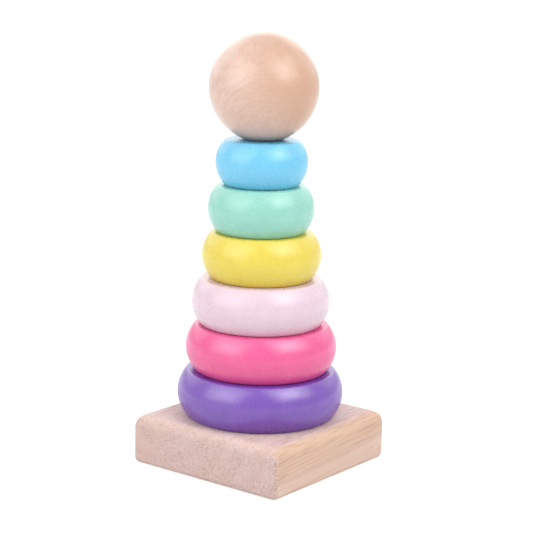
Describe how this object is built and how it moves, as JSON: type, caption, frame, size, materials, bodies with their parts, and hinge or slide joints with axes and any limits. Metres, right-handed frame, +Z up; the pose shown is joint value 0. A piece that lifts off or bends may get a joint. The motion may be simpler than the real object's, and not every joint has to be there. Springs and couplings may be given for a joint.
{
  "type": "stacking ring toy",
  "caption": "Wooden stacking ring toy: a square base with an upright post, painted rings that lift off the post in order of size, and a wooden ball that caps it.",
  "frame": {"origin": "centre of the base block's underside", "axes": "+Z up along the post, X and Y along the base's sides, +Y along the base's grain"},
  "size_m": [0.086, 0.086, 0.2055],
  "materials": {
    "base_wood": "bare sanded rubberwood, fine pores and streaks",
    "post_wood": "bare sanded dowel, straight fine grain",
    "purple_paint": "satin water-based paint over wood",
    "pink_paint": "satin water-based paint over wood",
    "blush_paint": "satin water-based paint over wood",
    "yellow_paint": "satin water-based paint over wood",
    "mint_paint": "satin water-based paint over wood",
    "blue_paint": "satin water-based paint over wood",
    "ball_wood": "turned pale hardwood, thin clear satin coat"
  },
  "bodies": {
    "stand": {"base": "base_wood", "post": "post_wood"},
    "purple_ring": {"purple_ring": "purple_paint"},
    "pink_ring": {"pink_ring": "pink_paint"},
    "blush_ring": {"blush_ring": "blush_paint"},
    "yellow_ring": {"yellow_ring": "yellow_paint"},
    "mint_ring": {"mint_ring": "mint_paint"},
    "blue_ring": {"blue_ring": "blue_paint"},
    "ball": {"ball": "ball_wood"}
  },
  "joints": [
    {"name": "purple_ring_lift", "type": "slide", "parent": "stand", "child": "purple_ring", "axis": [0, 0, 1], "range_m": [0, 0.15105]},
    {"name": "pink_ring_lift", "type": "slide", "parent": "purple_ring", "child": "pink_ring", "axis": [0, 0, 1], "range_m": [0, 0.12893]},
    {"name": "blush_ring_lift", "type": "slide", "parent": "pink_ring", "child": "blush_ring", "axis": [0, 0, 1], "range_m": [0, 0.1068]},
    {"name": "yellow_ring_lift", "type": "slide", "parent": "blush_ring", "child": "yellow_ring", "axis": [0, 0, 1], "range_m": [0, 0.08468]},
    {"name": "mint_ring_lift", "type": "slide", "parent": "yellow_ring", "child": "mint_ring", "axis": [0, 0, 1], "range_m": [0, 0.06255]},
    {"name": "blue_ring_lift", "type": "slide", "parent": "mint_ring", "child": "blue_ring", "axis": [0, 0, 1], "range_m": [0, 0.04043]},
    {"name": "ball_lift", "type": "slide", "parent": "blue_ring", "child": "ball", "axis": [0, 0, 1], "range_m": [0, 0.019]}
  ]
}
